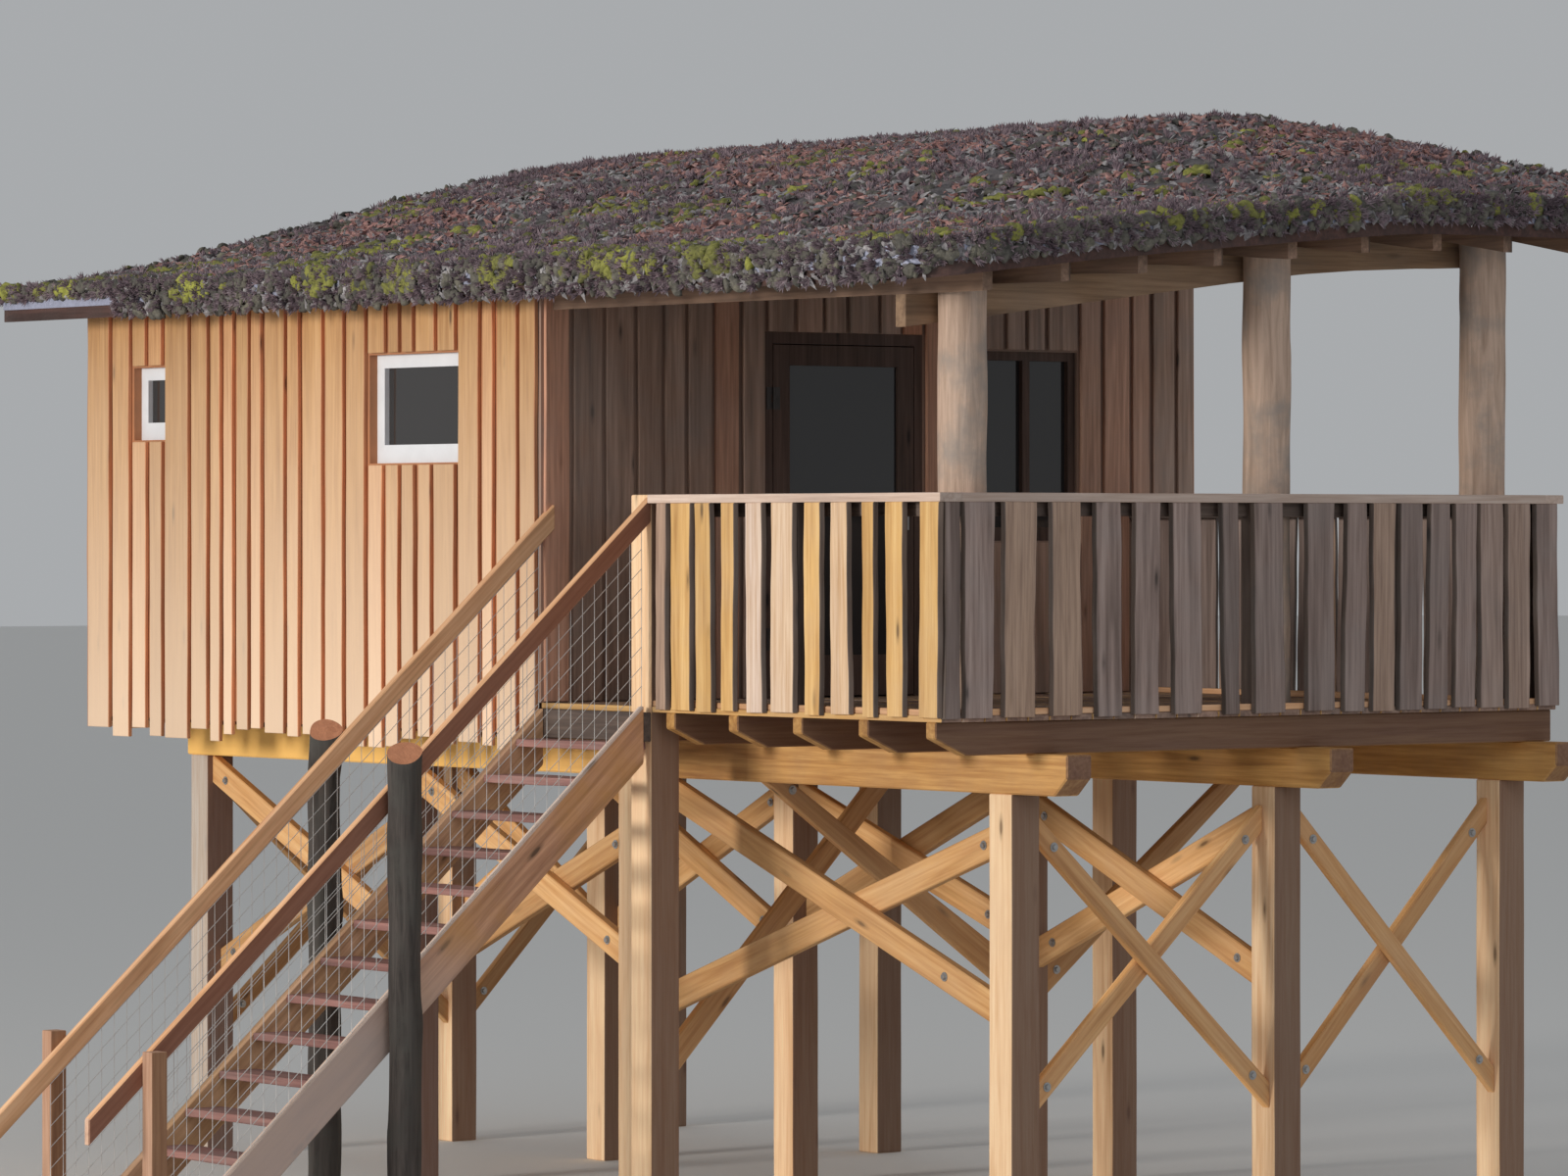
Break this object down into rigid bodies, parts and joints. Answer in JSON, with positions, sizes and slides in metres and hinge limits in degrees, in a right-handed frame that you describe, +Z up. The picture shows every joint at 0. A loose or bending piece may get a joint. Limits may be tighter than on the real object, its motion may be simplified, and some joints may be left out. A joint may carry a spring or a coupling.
{
  "type": "tree house",
  "caption": "Boarded tree house on square posts with crossed braces, a planted curved roof, a railed deck under the roof and a straight open stair.",
  "frame": {"origin": "middle of the whole's bounding box, at ground level under the posts", "axes": "+Z up; -X is where the stair comes down; -Y is the railed deck's front; +Y the cabin's closed end"},
  "size_m": [8.274, 8.978, 5.9905],
  "materials": {
    "post_timber": "rough sawn",
    "beam_timber": "rough sawn",
    "floor_timber": "weathered",
    "pale_boards": "rough sawn",
    "dark_boards": "rough sawn",
    "white_frame": "painted",
    "brown_frame": "oiled",
    "window_glass": "clear",
    "handle_metal": "brushed",
    "roof_timber": "rough sawn",
    "roof_planting": "matte",
    "edge_metal": "dull",
    "round_log": "peeled",
    "bark_log": "bark",
    "rail_slabs": "waney edged",
    "wire_netting": "galvanised"
  },
  "bodies": {
    "building": {"front_posts": "post_timber", "middle_posts": "post_timber", "back_posts": "post_timber", "deck_newel_post": "post_timber", "front_beam": "beam_timber", "middle_beam": "beam_timber", "back_beam": "beam_timber", "front_braces": "beam_timber", "middle_braces": "beam_timber", "side_braces": "beam_timber", "deck_joists": "beam_timber", "cabin_joists": "beam_timber", "deck_floor": "floor_timber", "cabin_floor": "floor_timber", "stair_side_wall": "pale_boards", "deck_wall_left": "dark_boards", "deck_wall_right": "dark_boards", "deck_wall_head": "dark_boards", "far_side_wall": "pale_boards", "back_wall": "pale_boards", "wide_window_frame": "white_frame", "wide_window_glass": "window_glass", "slit_window_frame": "white_frame", "slit_window_glass": "window_glass", "deck_window_frame": "brown_frame", "deck_window_glass": "window_glass", "door_frame": "brown_frame", "hinge_pins": "handle_metal", "roof_boards": "roof_timber", "roof_rafters": "beam_timber", "green_roof": "roof_planting", "roof_fascia": "roof_timber", "roof_edge_strip": "edge_metal", "roof_posts": "round_log", "roof_front_beam": "beam_timber", "left_railing": "rail_slabs", "right_railing": "rail_slabs", "end_railing": "rail_slabs", "stair_header": "beam_timber", "near_string": "beam_timber", "far_string": "beam_timber", "treads": "floor_timber", "near_handrail": "beam_timber", "far_handrail": "beam_timber", "stair_newels": "post_timber", "stair_log_posts": "bark_log", "near_netting": "wire_netting", "far_netting": "wire_netting"},
    "door": {"door_leaf": "brown_frame", "door_glass": "window_glass", "door_handle": "handle_metal", "hinge_straps": "handle_metal"}
  },
  "joints": [
    {"name": "door_hinge", "type": "hinge", "parent": "building", "child": "door", "pos_m": [0.78, -0.724, 3.7], "axis": [0, 0, -1], "range_deg": [0, 95]}
  ]
}
